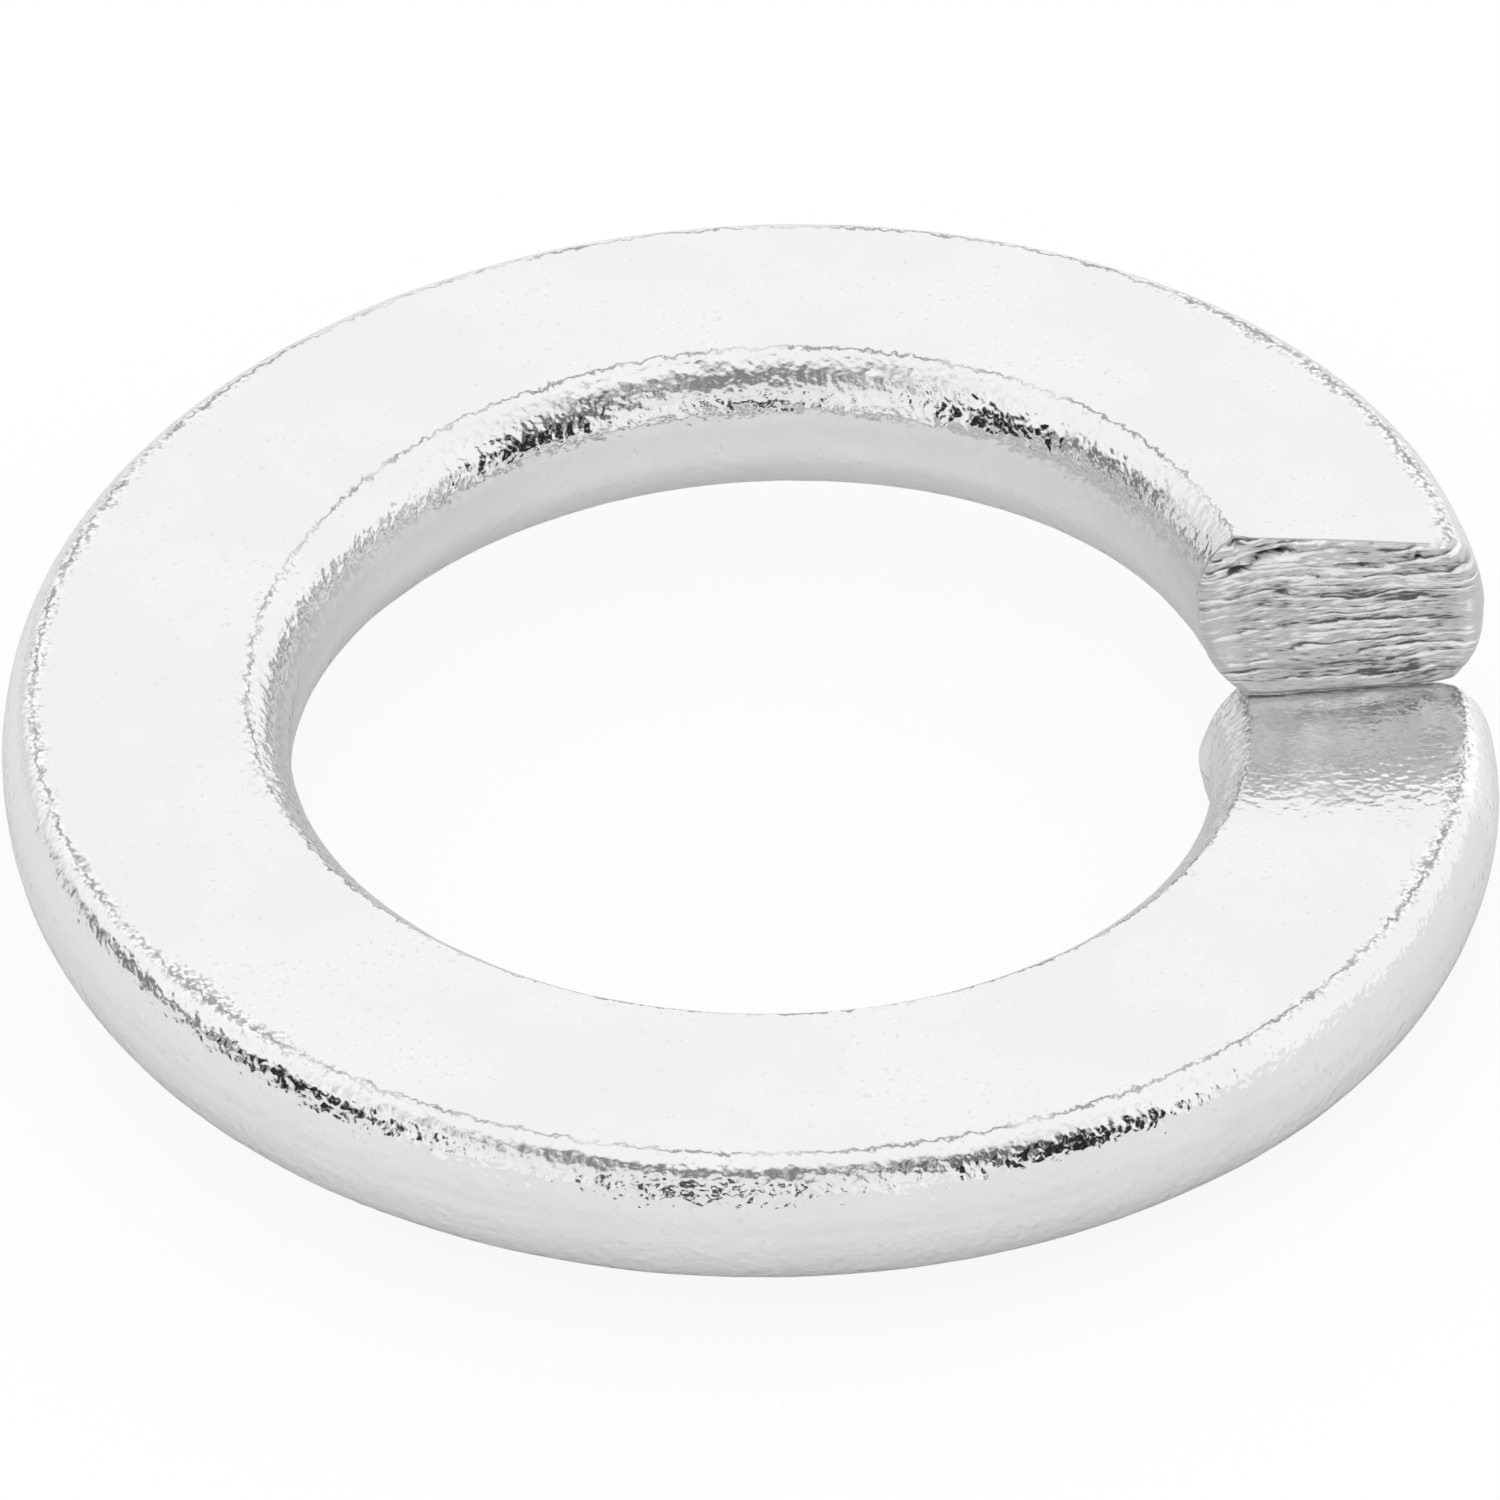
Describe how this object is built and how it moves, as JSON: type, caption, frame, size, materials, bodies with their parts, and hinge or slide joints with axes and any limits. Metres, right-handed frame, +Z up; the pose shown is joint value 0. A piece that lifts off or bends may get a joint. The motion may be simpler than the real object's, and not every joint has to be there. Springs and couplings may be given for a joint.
{
  "type": "spring lock washer",
  "caption": "Split ring of flat wire with rounded edges, coiled left-handed so that its sheared ends stand offset and spring under a nut or bolt head.",
  "frame": {"origin": "on the axis of the bore, at the height of the washer's lowest point, which is the tip of its bent-down lower end", "axes": "+Z up along the bore, towards the raised end; the split is on the +X side, with the raised end on its +Y side and the lower end on its -Y side"},
  "size_m": [0.0208, 0.0208, 0.0046],
  "materials": {
    "zinc_plated_steel": "bright zinc plating, satin"
  },
  "bodies": {
    "root": {"washer": "zinc_plated_steel"}
  },
  "joints": []
}
